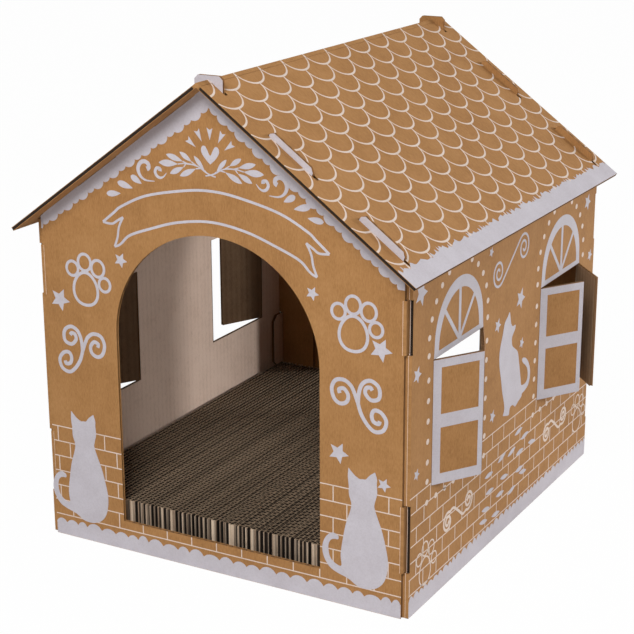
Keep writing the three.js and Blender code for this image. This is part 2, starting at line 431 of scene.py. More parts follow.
def outline_on(node, face):
    """The board's outlines on that side of it: rings of (across, up), in millimetres."""
    mesh = nodes[node].data
    mesh.calc_loop_triangles()
    flat = face.measure(node_points(node))
    keys = [tuple(v.co) for v in mesh.vertices]
    where = dict(zip(keys, flat))
    following = {}
    for triangle in mesh.loop_triangles:
        corners = [keys[i] for i in triangle.vertices]
        if any(abs(where[c][2]) > 0.02 for c in corners):
            continue
        for start, end in edges_of(corners):
            if start in following.get(end, []):
                following[end].remove(start)
            else:
                following.setdefault(start, []).append(end)
    rings = []
    for first in following:
        while following[first]:
            ring = [first, following[first].pop()]
            while ring[-1] != first:
                ring.append(following[ring[-1]].pop())
            rings.append([tuple(where[key][:2]) for key in ring[:-1]])
    return rings


def round_arch(ring, centre, radius):
    """The ring with more points where it follows a circle."""
    steps = 6
    made = []
    for start, end in edges_of(ring):
        made.append(start)
        turns = []
        for point in (start, end):
            away = (point[0] - centre[0], point[1] - centre[1])
            if abs(hypot(*away) - radius) < 0.05:
                turns.append(atan2(away[1], away[0]))
        if len(turns) == 2 and 0.02 < abs(turns[1] - turns[0]) < 0.4:
            for step in range(1, steps):
                turn = turns[0] + (turns[1] - turns[0]) * step / steps
                made.append(around(centre, turn, radius))
    return made


def is_inside(points, rings):
    """Which points lie on the board: within its outline and in no opening."""
    points = np.asarray(points, float)
    count = np.zeros(len(points), int)
    for ring in rings:
        for (a0, b0), (a1, b1) in edges_of(ring):
            if b0 == b1:
                continue
            crosses = (points[:, 1] < b0) != (points[:, 1] < b1)
            at = a0 + (points[:, 1] - b0) * (a1 - a0) / (b1 - b0)
            count += crosses & (points[:, 0] < at)
    return count % 2 == 1


class Drawing:
    """Solids drawn on one face and gathered into one piece."""

    def __init__(self, face, rings=()):
        self.face = face
        self.rings = list(rings)
        self.points = []
        self.faces = []
        self.finishes = []
        self.shapes = 0

    def next_height(self, height):
        """That height of ink, a little more or less than the shapes drawn before have."""
        self.shapes += 1
        return height + INK_STEP * (self.shapes % INK_STEPS)

    def add(self, points, faces, finish):
        first = len(self.points)
        self.points.extend(points)
        self.faces.extend([tuple(first + i for i in corners) for corners in faces])
        self.finishes.extend([finish] * len(faces))

    def slab(self, rings, low, high, finish=0):
        """A flat sheet of that outline, from low to high off the face."""
        flat = [point for ring in rings for point in ring]
        count = len(flat)
        drawn = tessellate_polygon([[Vector((a, b, 0)) for a, b in ring] for ring in rings])
        triangles = []
        for i, j, k in drawn:
            (ai, bi), (aj, bj), (ak, bk) = flat[i], flat[j], flat[k]
            twice_area = (aj - ai) * (bk - bi) - (ak - ai) * (bj - bi)
            if abs(twice_area) > TINY:
                triangles.append((i, j, k) if twice_area > 0 else (i, k, j))
        edges = {(t[n], t[(n + 1) % 3]) for t in triangles for n in range(3)}
        rim = [(i, j) for i, j in edges if (j, i) not in edges]
        points = [(a, b, low) for a, b in flat] + [(a, b, high) for a, b in flat]
        faces = [(i + count, j + count, k + count) for i, j, k in triangles]
        faces += [(k, j, i) for i, j, k in triangles]
        faces += [(i, j, j + count, i + count) for i, j in sorted(rim)]
        self.add(points, faces, finish)

    def loft(self, sections, finish=0, closed=False):
        """A solid through sections of four points each, capped at its ends unless it is closed."""
        points = [point for section in sections for point in section]
        count = len(sections)
        faces = []
        for i in range(count if closed else count - 1):
            here, there = 4 * i, 4 * ((i + 1) % count)
            for k in range(4):
                after = (k + 1) % 4
                faces.append((here + k, there + k, there + after, here + after))
        if not closed:
            last = 4 * (count - 1)
            faces += [(0, 1, 2, 3), (last + 3, last + 2, last + 1, last)]
        self.add(points, faces, finish)

    def sheet(self, rings):
        """A flat area of ink, its first ring the outline and the others holes."""
        self.slab(rings, -INK_SUNK, INK_THICK)

    def patch(self, outline, height=INK_THICK):
        """A filled shape in ink."""
        self.slab([outline], -INK_SUNK, self.next_height(height))

    def stroke(self, points, width, closed=False):
        """A line in ink along the points, kept to the board. Width is one number or one a point."""
        height = self.next_height(INK_THIN)
        rows = np.column_stack([points, np.broadcast_to(width, len(points))]).astype(float)
        if closed:
            rows = np.vstack([rows, rows[:1]])
        made = [rows[0]]
        for before, after in zip(rows, rows[1:]):
            steps = max(1, ceil(np.hypot(*(after - before)[:2]) / STROKE_STEP))
            for step in range(1, steps + 1):
                share = step / steps
                made.append(before * (1 - share) + after * share)
        made = np.array(made)
        shown = is_inside(made, self.rings) if self.rings else np.ones(len(made), bool)
        if closed and shown.all():
            self.ribbon(made[:-1], height, True)
            return
        edges = np.flatnonzero(np.diff([0, *shown, 0]))
        for start, end in zip(edges[::2], edges[1::2]):
            run = list(made[start:end])
            if start > 0:
                run.insert(0, self.edge_between(made[start], made[start - 1]))
            if end < len(made):
                run.append(self.edge_between(made[end - 1], made[end]))
            if len(run) > 1:
                self.ribbon(np.array(run), height, False)

    def edge_between(self, inner, outer):
        """The last point on the board on the way from one point out to another, as wide."""
        outer = np.append(outer[:2], inner[2])
        for _ in range(6):
            middle = (inner + outer) / 2
            if is_inside([middle], self.rings)[0]:
                inner = middle
            else:
                outer = middle
        return inner

    def ribbon(self, rows, height, closed):
        """A solid along rows of (across, up, width)."""
        line, widths = rows[:, :2], rows[:, 2]
        if closed:
            before, after = np.roll(line, 1, axis=0), np.roll(line, -1, axis=0)
        else:
            before = np.vstack([line[:1], line[:-1]])
            after = np.vstack([line[1:], line[-1:]])
        into, away = line - before, after - line
        into_length, away_length = lengths(into), lengths(away)
        into[into_length < TINY] = away[into_length < TINY]
        away[away_length < TINY] = into[away_length < TINY]
        into = into / np.maximum(lengths(into), TINY)[:, None]
        away = away / np.maximum(lengths(away), TINY)[:, None]
        along = into + away
        length = np.maximum(lengths(along), 0.6)
        left = np.stack([-along[:, 1], along[:, 0]], axis=1) / length[:, None]
        mitre = left * (2 / length)[:, None] * (widths / 2)[:, None]
        sections = []
        for middle, aside in zip(line, mitre):
            (la, lb), (ra, rb) = middle + aside, middle - aside
            sections.append(
                [(la, lb, -INK_SUNK), (ra, rb, -INK_SUNK), (ra, rb, height), (la, lb, height)]
            )
        self.loft(sections, 0, closed)

    def build(self, name, node, finishes):
        """The piece, with each point's place on its board kept for the finishes."""
        mesh = bpy.data.meshes.new(name)
        faces = [corners[::-1] for corners in self.faces] if self.face.turned else self.faces
        mesh.from_pydata(self.face.place(self.points), [], faces)
        for finish in finishes:
            mesh.materials.append(finish)
        mesh.polygons.foreach_set("material_index", self.finishes)
        board = mesh.uv_layers.new(name="board")
        corners = np.zeros(len(mesh.loops), int)
        mesh.loops.foreach_get("vertex_index", corners)
        flat = np.array(self.points)[:, :2] * MM
        board.data.foreach_set("uv", flat[corners].astype(np.float32).ravel())
        mesh.update()
        piece = new_object(name, mesh)
        body = nodes[node]["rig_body"]
        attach(piece, body)
        return piece


# Boards


def cuts_at(rings, across):
    """Where a line up the board at that place enters and leaves it."""
    heights = []
    for ring in rings:
        for (a0, b0), (a1, b1) in edges_of(ring):
            if (a0 < across) != (a1 < across):
                heights.append(b0 + (across - a0) * (b1 - b0) / (a1 - a0))
    return sorted(heights)


def upright(place, foot, head, out, thick):
    """One section of a waved sheet whose flutes run from foot to head."""
    near, far = out - thick / 2, out + thick / 2
    return [(place, head, near), (place, foot, near), (place, foot, far), (place, head, far)]


def add_flutes(drawing, rings, inset):
    """The waved sheet, its flutes running up the board and ending short of its side edges."""
    low, high = span([point for ring in rings for point in ring])
    reach = (BOARD - 2 * LINER - MEDIUM) / 2
    runs, open_runs, before = [], [], []
    places = np.arange(low + inset, high - inset, FLUTE_PITCH / FLUTE_STEPS)
    for place in [*places, high - inset]:
        heights = cuts_at(rings, place)
        steps = [abs(now - last) for now, last in zip(heights, before)]
        if len(heights) != len(before) or max(steps, default=0) > LARGEST_STEP:
            open_runs = [[] for _ in heights[::2]]
            runs += open_runs
        out = reach * sin(TURN * place / FLUTE_PITCH) - BOARD / 2
        for run, foot, head in zip(open_runs, heights[0::2], heights[1::2]):
            run.append(upright(place, foot, head, out, MEDIUM))
        before = heights
    for run in runs:
        if len(run) > 1:
            drawing.loft(run, WAVED)


def close_edges(drawing, rings, is_closed, near, far, finish):
    """A strip between the liners along some edges, from near to far in from the edge."""
    for ring in rings:
        for start, end in edges_of(ring):
            if not (is_closed(*start) and is_closed(*end)):
                continue
            start, end = np.array(start), np.array(end)
            if np.hypot(*(end - start)) < 0.5:
                continue
            inward = left_of(end - start)
            if not is_inside([(start + end) / 2 + inward * 0.35], rings)[0]:
                inward = -inward
            low, high = inward * near, inward * far
            corners = [start + low, end + low, end + high, start + high]
            drawing.slab([corners], LINER - BOARD, -LINER, finish)


def make_board(
    node, face, finishes, is_fold=None, is_painted_shade=None, arch=None, inset=0.05
):
    """A board of two liners and its waved sheet, in place of the frame's plain one. Where it is
    creased and goes on, its liner closes the edge. Dark edges are painted shade in the flutes."""
    rings = outline_on(node, face)
    if arch:
        rings = [round_arch(ring, *arch) for ring in rings]
    outlines[node] = rings
    drawing = Drawing(face)
    drawing.slab(rings, -LINER, 0, OUTER)
    drawing.slab(rings, -BOARD, LINER - BOARD, INNER)
    add_flutes(drawing, rings, inset)
    if is_fold:
        close_edges(drawing, rings, is_fold, 0.0, LINER, OUTER)
    if is_painted_shade:
        close_edges(drawing, rings, is_painted_shade, *PAINTED_SHADE_REACH, PAINTED_SHADE_SHEET)
    piece = drawing.build(f"{node}_board", node, finishes)
    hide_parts(node)


def beyond(limit):
    return lambda across, up: abs(across) > limit


# A board's finishes, in the order of the sheets that wear them; the last is painted shade
OUTER, INNER, WAVED, PAINTED_SHADE_SHEET = range(4)
# The side walls' inner liner is lightened as painted light
sheets = [kraft_face, back_liner_tone_and_painted_light, medium_sheet, painted_shade_liner]
brown_sheets = [kraft_face, kraft_face, medium_sheet, painted_shade_liner]
# The shutters' back liner is darkened as painted shade
leaf_sheets = [kraft_face, leaf_back_painted_shade, medium_sheet, painted_shade_liner]
SIDES = {"left": -1, "right": 1}
ENDS = {"front": -1, "rear": 1}
outlines = {}

for end_name, end in ENDS.items():
    make_board(f"{end_name}_wall", gable_face(end), brown_sheets, arch=DOOR_ARCH)

for side_name, side in SIDES.items():
    make_board(
        f"{side_name}_wall",
        side_face(side),
        sheets,
        lambda across, up: abs(across) > GABLE_INNER - NEAR or up < NEAR,
        # Along the slots the flute mouths are painted shade
        lambda across, up: SLOT_INNER < abs(across) < GABLE_INNER - NEAR,
    )
    make_board(
        f"roof_{side_name}_panel",
        roof_face(side),
        brown_sheets,
        lambda across, down: abs(down - RIDGE_STRIP) < 0.5,
        # Along the roof's front and rear edges the flute mouths are painted shade
        beyond(ROOF_END),
        inset=2.6,
    )
    for end_name, end in ENDS.items():
        flange = f"{end_name}_{side_name}_flange"
        flange_face = gable_face(end, GABLE_INNER)
        make_board(flange, flange_face, brown_sheets, beyond(FLANGE_FOLD))
        for lock_name in ("lower", "upper"):
            lock = f"{end_name}_{side_name}_{lock_name}_lock"
            make_board(lock, side_face(side, LOCK_STAND), sheets, beyond(HALF_DEPTH - NEAR))
        for leaf_name in ("fore", "aft"):
            leaf = f"{side_name}_{end_name}_{leaf_name}_shutter"
            make_board(leaf, leaf_face(leaf, side), leaf_sheets, lambda across, up: across < NEAR)

floor_top = Face((0, 0, BOARD), (1, 0, 0), (0, 1, 0), (0, 0, 1))
# The floor's upper liner is the same inner liner, lightened as painted light
floor_sheets = [back_liner_tone_and_painted_light, kraft_face, medium_sheet]
make_board("floor_panel", floor_top, floor_sheets)

RIDGE_NODES = [f"ridge_crease_{place}" for place in ("front", "middle", "rear")]
for node in RIDGE_NODES:
    materials = nodes[node].data.materials
    materials.clear()
    materials.append(kraft_ridge)


# Scratching pads


def make_pad(side_name, side, rng):
    """Strips of board on edge, glued face to face, with their flutes upright."""
    pad = Drawing(Face((0, 0, 0), (0, 1, 0), (0, 0, 1), (1, 0, 0)))
    reach = (PAD_STRIP - 2 * PAD_LINER - PAD_MEDIUM) / 2
    quarter = PAD_FLUTE / 4
    phase = 0
    for strip in range(PAD_STRIPS):
        low, high = sorted(side * (PAD_SIDE_START + k * PAD_STRIP) for k in (strip, strip + 1))
        front = -PAD_HALF_LENGTH + rng.uniform(0, 1.6)
        rear = PAD_HALF_LENGTH - rng.uniform(0, 1.6)
        top = PAD_HIGH - rng.uniform(0, 0.35)
        for inner, outer in ((low, low + PAD_LINER), (high - PAD_LINER, high)):
            start = front + rng.uniform(0, 0.5)
            pad.slab([rectangle(start, PAD_LOW, rear, top)], inner, outer)
        phase = (phase + rng.uniform(0.9, 1.7)) % PAD_FLUTE
        head = top - rng.uniform(0, 0.25)
        first = ceil((front - phase) / quarter)
        last = int((rear - phase) / quarter)
        sections = []
        for step in range(first, last + 1):
            out = (low + high) / 2 + (reach if step % 4 in (0, 1) else -reach)
            sections.append(upright(phase + step * quarter, PAD_LOW, head, out, PAD_MEDIUM))
        pad.loft(sections)
    node = f"{side_name}_scratch_pad"
    piece = pad.build(f"{side_name}_pad_strips", node, [pad_finish])
    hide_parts(f"{side_name}_scratch_pad")


for side_name, side in SIDES.items():
    make_pad(side_name, side, random.Random(40 + side))


# Shapes of the print

STAR_LEAN = 12
SPIRAL_STEPS = 28


def smooth(points, closed=False, steps=6):
    """A rounded line through the points."""
    points = [np.array(point, float) for point in points]
    before, after = (points[-1:], points[:2]) if closed else (points[:1], points[-1:])
    run = before + points + after
    made = []
    for p0, p1, p2, p3 in zip(run, run[1:], run[2:], run[3:]):
        for step in range(steps):
            t = step / steps
            bend = (2 * p0 - 5 * p1 + 4 * p2 - p3) * t * t
            twist = (3 * p1 - p0 - 3 * p2 + p3) * t**3
            made.append(tuple((2 * p1 + (p2 - p0) * t + bend + twist) / 2))
    if not closed:
        made.append(tuple(points[-1]))
    return made


def moved(points, across=0.0, up=0.0, mirror=False):
    flip = -1 if mirror else 1
    return [(flip * a + across, b + up) for a, b in points]


def oval(centre, half_wide, half_high, steps):
    return [around(centre, TURN * k / steps, half_wide, half_high) for k in range(steps)]


def star(centre, radius):
    """Five points with slightly soft hollows, one of them straight down and leaning."""
    reaches = (radius, radius * 0.47) * 5
    down = -90 + STAR_LEAN
    return [around(centre, radians(down + 36 * k), reach) for k, reach in enumerate(reaches)]


def bulge(start, end, half_wide, fullest=0.5):
    """A leaf or drop from one point to another, fullest at that share of its length."""
    start, end = np.array(start, float), np.array(end, float)
    along = end - start
    aside = left_of(along) * half_wide
    power = log(0.5) / log(fullest)
    shares = [k / 14 for k in range(15)]
    edge = [(t, sin(pi * t**power) ** 0.85) for t in shares]
    left = [start + along * t + aside * w for t, w in edge]
    right = [start + along * t - aside * w for t, w in reversed(edge[1:-1])]
    return left + right


def spiral(centre, outer, inner, start, turns):
    """A line that winds from the outer radius in to the inner one; turns below 0 run clockwise."""
    count = int(abs(turns) * SPIRAL_STEPS)
    made = []
    for k in range(count + 1):
        share = k / count
        turn = radians(start) + TURN * turns * share
        made.append(around(centre, turn, outer + (inner - outer) * share))
    return made


COURSES = [18.5, 32, 45.5, 59, 72.5, 86, 99.5]
BRICK = 24.05
JOINT = 0.9


def draw_bricks(lines, edge, starts):
    """Courses of bricks as thin lines. Joints run from the first start in even rows and from the
    second in odd ones."""
    for height in COURSES:
        lines.stroke([(-edge, height), (edge, height)], JOINT)
    for row, (low, high) in enumerate(zip(COURSES, COURSES[1:])):
        start = starts[row % 2]
        place = start - BRICK * ceil((start + edge) / BRICK)
        while place < edge:
            if place > -edge:
                lines.stroke([(place, low), (place, high)], JOINT)
            place += BRICK


def draw_snow(ink, edge, valley, crest, widths, rng):
    """Snow along the foot of a wall: uneven rounded humps."""
    foot = 0.3
    right = edge - 0.2
    place = -right
    top = [(place, valley)]
    while place < right - 1:
        wide = min(rng.uniform(*widths), right - place)
        rise = rng.uniform(0.6, 1) * (crest - valley)
        for t in np.arange(1, 7) / 6:
            top.append((place + wide * t, valley + rise * sin(pi * t) ** 0.7))
        place += wide
    ink.patch([(right, foot), *reversed(top), (-right, foot)], INK_SNOW)


# Print of the gable walls

TRIM_PITCH = 18.75
TRIM_LARGE = 11


def trim_depth(place, side):
    """How far the scalloped band reaches below the slope line; the left one narrows downward."""
    band = 13.6 - 0.035 * place if side < 0 else 14
    at = place % TRIM_PITCH
    if at < TRIM_LARGE:
        return band + 3.4 * sin(pi * at / TRIM_LARGE) ** 0.6
    return band + 2.1 * sin(pi * (at - TRIM_LARGE) / (TRIM_PITCH - TRIM_LARGE)) ** 0.6


def draw_trim(ink, rings):
    """The white band along both slopes, with the tabs above it."""
    slope_line = RIDGE_HEIGHT - BOARD / cos(PITCH) - 0.3
    outer = max(rings, key=max)
    start = outer.index(max(outer))
    ring = outer[start:] + outer[:start]
    if ring[1][1] < ring[0][1]:
        ring = [ring[0], *reversed(ring[1:])]
    is_lower = [up < ring[0][1] - 0.01 for across, up in ring]
    upper = ring[: is_lower.index(True)]
    scallops = []
    for side in (-1, 1):
        run = []
        for place in np.arange(0, 210, 0.75):
            depth = trim_depth(place, side)
            across = place * cos(PITCH) - depth * sin(PITCH)
            height = slope_line - place * sin(PITCH) - depth * cos(PITCH)
            if 0 <= across <= WALL_EDGE:
                run.append((side * across, height))
        run.append((side * WALL_EDGE, run[-1][1]))
        scallops += reversed(run) if side < 0 else run
    ink.sheet([upper + scallops])


HEART = [
    (0, 340.4), (4.4, 344.4), (7.9, 349.6), (7.2, 353.6), (4.2, 353.9), (0.6, 347.4),
]
HEART_RAYS = [
    ((20.7, 358.4), (12.8, 352.5)),
    ((11.8, 366.1), (7.3, 357.4)),
    ((0, 368.5), (0, 359.1)),
]


def draw_heart(ink):
    """A heart with five notched rays over it."""
    half = [(a, b) for a, b in smooth(HEART) if a > 0.01]
    ink.patch([HEART[0], *half, *reversed(moved(half, mirror=True))])
    for wide_end, tip in HEART_RAYS:
        for flip in (-1, 1) if wide_end[0] else (1,):
            base = np.array([flip * wide_end[0], wide_end[1]])
            point = np.array([flip * tip[0], tip[1]])
            along = point - base
            aside = left_of(along) * 2.6
            ink.patch([base + aside, base + along * 0.16, base - aside, point])


LAUREL_STEM = [
    (4.6, 331.2), (0.4, 332.1), (-4.5, 334), (-9.3, 336.9), (-15, 338.6), (-24, 338.9),
]
LAUREL_LEAVES = [
    ((-2.6, 333), (-5.4, 335.3), (-14.6, 345.7), 1.8),
    ((-12.4, 338), (-17, 340.9), (-27.6, 347.6), 2),
    ((-21, 339), (-25, 340.4), (-40.2, 344.5), 2.3),
    ((-24, 338.9), (-29.5, 337.8), (-47.2, 337.4), 2.7),
    ((-22, 338.9), (-24.2, 336), (-37, 329.6), 2.2),
    ((-8.6, 336.5), (-13.2, 335.8), (-28, 328.6), 2.3),
]
LAUREL_DROPS = [
    ((-73.9, 324.1), (-63.9, 318.6), 2.6),
    ((-87, 317.6), (-72.5, 314.1), 2.7),
    ((-97.9, 307.1), (-84.3, 308.7), 2.5),
]
LAUREL_CURLS = [
    ([
        (-51.6, 322), (-60, 322), (-65, 325.2), (-66.8, 330.3), (-64.8, 335), (-60.8, 336.8),
        (-57.2, 335.2), (-56.8, 332.2), (-58.6, 331),
    ], [0.5, 3.2, 3.4, 3.8]),
    ([
        (-40.2, 329.8), (-43, 326.6), (-46.2, 325.3), (-49.3, 326.5), (-50.8, 329.7),
        (-49.2, 332.7), (-46.4, 332.4), (-46.4, 330.6),
    ], [0.4, 2.4, 2.6, 3.4]),
]


def draw_laurel(ink):
    """Two leafy sprigs that cross under the heart, with curls and drops beside them."""
    for mirror in (False, True):
        ink.stroke(moved(smooth(LAUREL_STEM), mirror=mirror), 1.1)
        for fork, base, tip, half_wide in LAUREL_LEAVES:
            ink.stroke(moved([fork, base], mirror=mirror), 0.9)
            ink.patch(moved(bulge(base, tip, half_wide, 0.56), mirror=mirror))
        for base, tip, half_wide in LAUREL_DROPS:
            ink.patch(moved(bulge(base, tip, half_wide, 0.36), mirror=mirror))
        for run, widths in LAUREL_CURLS:
            curl = moved(smooth(run), mirror=mirror)
            shares = np.linspace(0, 1, len(curl))
            ink.stroke(curl, np.interp(shares, [0, 0.35, 0.85, 1], widths))


BANNER_TOP = [
    (-102.6, 283.5), (-91.5, 292.5), (-84, 298.3), (-60, 309.5), (-24, 317.5), (0, 319.7),
]
BANNER_FOOT = [
    (-84.8, 268.5), (-77, 275.5), (-58, 283), (-31, 291.5), (0, 295.4),
]
BANNER_TAIL = [
    [(-102.6, 283.5), (-94, 283), (-88.5, 286.2), (-83, 289.5)],
    [(-83, 289.5), (-87.2, 281.3), (-89, 272.3), (-92.2, 264.5)],
    [(-92.2, 264.5), (-88.4, 265.9), (-84.8, 268.5)],
]


def draw_banner(ink):
    """An arched ribbon in outline, its tails forked."""
    for half in (BANNER_TOP, BANNER_FOOT):
        ink.stroke(smooth(half + moved(half[-2::-1], mirror=True)), 2.1)
    for mirror in (False, True):
        for run in BANNER_TAIL:
            ink.stroke(moved(smooth(run), mirror=mirror), 1.9)


PAW_TOES = [
    (-12.6, 16.9, 5.75, 6.1), (-0.3, 23.4, 6.3, 7), (12.8, 19.8, 6.3, 7), (19, 7, 5.5, 5.8),
]


def draw_paw(ink, centre, scale=1.0, stroke=2.6):
    pad = oval(centre, 12 * scale, 13.8 * scale, 44)
    pad = [(a, b + 1.2 * scale * cos((a - centre[0]) / (6 * scale))) for a, b in pad]
    ink.stroke(pad, stroke, closed=True)
    for across, up, half_wide, half_high in PAW_TOES:
        toe = (centre[0] + across * scale, centre[1] + up * scale)
        ink.stroke(oval(toe, half_wide * scale, half_high * scale, 30), stroke * 0.95, closed=True)


# Three curls that grow from one stem
SWIRL = [
    [
        (-129, 170.6), (-129.5, 177.9), (-131.2, 184.4), (-134.4, 188.6), (-139.8, 190.4),
        (-145.4, 187.5), (-147.4, 182.4), (-146, 176.8), (-139.9, 175.2), (-135.2, 179.6),
        (-135.9, 184), (-139.3, 184.9), (-141, 183),
    ],
    [
        (-129, 170.6), (-126.1, 177.9), (-123, 183.6), (-117.3, 187.3), (-110, 186.2),
        (-106.5, 179.4), (-108.6, 171.3), (-113.7, 168), (-119.2, 170.1), (-120.6, 175.6),
        (-117, 180.4), (-112.8, 179.2), (-113.4, 176.2),
    ],
    [
        (-129, 170.6), (-131.9, 162.2), (-137.4, 154.4), (-143.5, 150.4), (-150.5, 152.7),
        (-152.9, 160.1), (-148.8, 166.3), (-143.1, 167.5), (-140.6, 163.4), (-142.1, 158.4),
        (-146.4, 157.2), (-147.4, 159.6),
    ],
]
GABLE_STARS = [
    (-149.4, 212.3, 10), (-87, 253.8, 6.5), (88, 251.3, 5.8), (145.9, 215.9, 9.7),
    (110.3, 127.4, 9), (149.3, 108.6, 6),
]
SITTING_CAT = smooth([
    (119, 117), (121.4, 114.6), (124.6, 111.6), (128.5, 109.6), (131.2, 109.9), (134, 110.3),
    (137.2, 114), (141.8, 117.5),
]) + smooth([
    (141.8, 117.5), (143.6, 112), (143.4, 107.5), (143.8, 100), (142, 93), (141.6, 88), (144.8, 79),
    (148.2, 70), (151.6, 57), (153.6, 44), (151.6, 31), (146.4, 23), (138, 18.8), (128, 18.9),
    (119.4, 23.6), (109.5, 26.6), (102.5, 30.2), (97.4, 38), (96.2, 47), (99.4, 55.4), (105, 59.8),
    (110, 58.2), (110.2, 55.2), (106.8, 54.8), (103.4, 53), (101.4, 47.4), (103, 38.6),
    (107.6, 34.2), (113, 33.4), (112.4, 42.7), (114.2, 56), (117, 70), (120.8, 82), (121.6, 88),
    (119.6, 95), (119.4, 102), (118.6, 110), (119, 117),
])[:-1]


def print_gable(node, end):
    rings = outlines[node]
    ink = Drawing(gable_face(end), rings)
    draw_trim(ink, rings)
    draw_heart(ink)
    draw_laurel(ink)
    for across in (-122.8, 122.8):
        draw_paw(ink, (across, 223.8))
    for mirror, across in ((False, 0), (True, -2)):
        for run in SWIRL:
            ink.stroke(moved(smooth(run), across, 0, mirror), 3.2)
    for *place, radius in GABLE_STARS:
        ink.patch(star(place, radius))
    ink.patch(SITTING_CAT, INK_OVER)
    ink.patch(moved(SITTING_CAT, -263, -1.5), INK_OVER)
    draw_banner(ink)
    draw_snow(ink, WALL_EDGE, 11.5, 16.5, (9, 16), random.Random(5 + end))
    ink.build(f"{node}_print", node, [ink_full])
    lines = Drawing(gable_face(end), rings)
    draw_bricks(lines, WALL_EDGE, (-2.5, 9.5))
    lines.build(f"{node}_bricks", node, [ink_line])


for end_name, end in ENDS.items():
    print_gable(f"{end_name}_wall", end)


# Print of the side walls


def draw_fanlight(ink, middle):
    """A half-round window head above each opening, with three glazing bars."""
    frame_centre, glass_centre, hub = (middle, 210), (middle, 204.6), (middle, 203.6)
    foot, half_foot = 200.2, 46
    turns = [pi * k / 40 for k in range(41)]
    outer = [around(frame_centre, turn, 45, 44.4) for turn in turns]
    inner = [around(glass_centre, turn, 37.6, 40.3) for turn in turns]
    ink.sheet([[(middle + half_foot, foot), *outer, (middle - half_foot, foot)], inner])
    for degrees, wide in ((45, 3.7), (90, 4.3), (135, 3.7)):
        ink.stroke([hub, around(glass_centre, radians(degrees), 39, 41)], wide)


def draw_dots(ink, middle):
    """Round lights round the window, each about 6 mm."""
    aside, low = 54.5, 86
    spots = [around((middle, 211.5), radians(14.8 * k - 6), 55) for k in range(14)]
    for height in (186, 169.5, 153, 136.5, 119.5, 103.5, low):
        spots += [(middle - aside, height), (middle + aside, height)]
    spots += [(middle - aside + 16.5 * k, low) for k in range(1, 6)]
    for spot in spots:
        ink.patch(oval(spot, 2.6, 2.4, 16), INK_THIN)


SIDE_CAT = smooth([
    (-7.3, 197.5), (-10.5, 194.9), (-16.8, 190.7), (-19.4, 184.9), (-21.6, 179.1), (-24.5, 173),
    (-26.4, 166.4), (-26.4, 159.9), (-24.7, 151.8), (-22.1, 144.4), (-19.9, 137.1), (-17.8, 129.8),
    (-15.2, 123.4), (-13.2, 118.3), (-12.3, 113.6), (-13.6, 110.1), (-14.8, 108), (-8.8, 106.1),
    (-3.3, 104.7), (-1.5, 106.1), (-0.7, 109.8), (1.9, 111.4), (5.7, 111), (8.5, 109.7),
    (10.9, 108), (13.6, 108.4), (18.1, 110.4), (24.8, 112.7), (26, 115.2), (31.6, 115.9),
    (38.9, 118.5), (42.5, 123.5), (42.9, 131), (40, 137.5), (35.6, 142.8), (30.2, 146.4),
    (25.1, 147.5), (23.9, 145.8), (26.3, 142.8), (30.8, 139.8), (35.7, 135.5), (37.8, 130.2),
    (37.4, 125.6), (34.6, 122.9), (29.6, 122.3), (23.9, 123.4), (22.1, 128.3), (19.3, 138.2),
    (16.2, 148.1), (14.3, 154.3), (11.2, 158.5), (5.5, 162.2), (0.7, 165.6), (-0.8, 169.8),
    (-0.6, 173.6), (2.4, 176.5), (5.4, 179), (6.5, 182.4), (4.2, 182.9), (1.1, 182.8),
    (-1.7, 184.3), (-3.8, 187.2), (-5.3, 191.8),
], closed=True, steps=3)


def draw_scroll(ink):
    """A long curl wound at both ends, between the two windows."""
    low = spiral((-32.8, 237.5), 12.2, 1.8, -50, -1.8)
    high = spiral((19.5, 247), 12.2, 1.8, 130, -1.8)
    ink.stroke(low[::-1] + high, 2.1)


def draw_wave_scroll(ink, across, up):
    """A small scroll like a wave over the bricks."""
    low = spiral((across - 20, up - 2.2), 8.6, 1.4, 60, 1.9)
    high = spiral((across + 20, up + 2.2), 8.6, 1.4, 240, 1.9)
    middle = [(across - 9, up + 6.2), (across, up + 0.4), (across + 9, up - 6.2)]
    ink.stroke(low[::-1] + smooth([low[0], *middle, high[0]])[1:-1] + high, 2.3)


LEAF_MARKS = [
    (-41.4, 64.1), (-14.5, 70.1), (-38.6, 48.4), (-16.2, 37.6), (-8, 50.3), (7.2, 67.8),
    (-45.9, 34.7), (-24.3, 22.1), (-50.3, 25), (9.6, 31.2), (21.6, 81.7), (36, 72.9), (53.2, 61.2),
    (25.8, 61.2), (25.8, 45), (34.2, 39.6),
]
SIDE_STARS = [
    (-177.6, 258.6, 10.5), (-182.5, 196.4, 7), (-49.3, 258.9, 4.5), (-31.6, 192.4, 6.5),
    (-37.4, 115, 6), (15.9, 203.1, 9.5), (21.6, 162.1, 5), (169.4, 253.5, 8), (181.5, 200.9, 6),
    (-181.2, 116.1, 5),
]


def print_side(node, side):
    rings = outlines[node]
    rng = random.Random(12 + side)
    ink = Drawing(side_face(side), rings)
    for middle in (-WINDOW_MIDDLE, WINDOW_MIDDLE):
        draw_fanlight(ink, middle)
    for *place, radius in SIDE_STARS:
        ink.patch(star(place, radius))
    ink.patch(SIDE_CAT, INK_OVER)
    draw_scroll(ink)
    draw_snow(ink, GABLE_INNER, 13.5, 17.8, (6.5, 12), rng)
    for place in LEAF_MARKS:
        lean = radians(rng.uniform(-12, 22))
        ink.patch(bulge(around(place, lean, -8.6), around(place, lean, 8.6), 2.1), INK_OVER)
    ink.build(f"{node}_print", node, [ink_full])
    lines = Drawing(side_face(side), rings)
    for middle in (-WINDOW_MIDDLE, WINDOW_MIDDLE):
        draw_dots(lines, middle)
    draw_bricks(lines, GABLE_INNER, (-167, -180))
    draw_wave_scroll(lines, -102.5, 55.8)
    draw_wave_scroll(lines, 109, 58.8)
    draw_paw(lines, (-163.4, 27.9), 0.85, 1.3)
    draw_paw(lines, (166.5, 42.6), 0.85, 1.3)
    lines.build(f"{node}_bricks", node, [ink_line])


for side_name, side in SIDES.items():
    print_side(f"{side_name}_wall", side)


# Print of the shutters


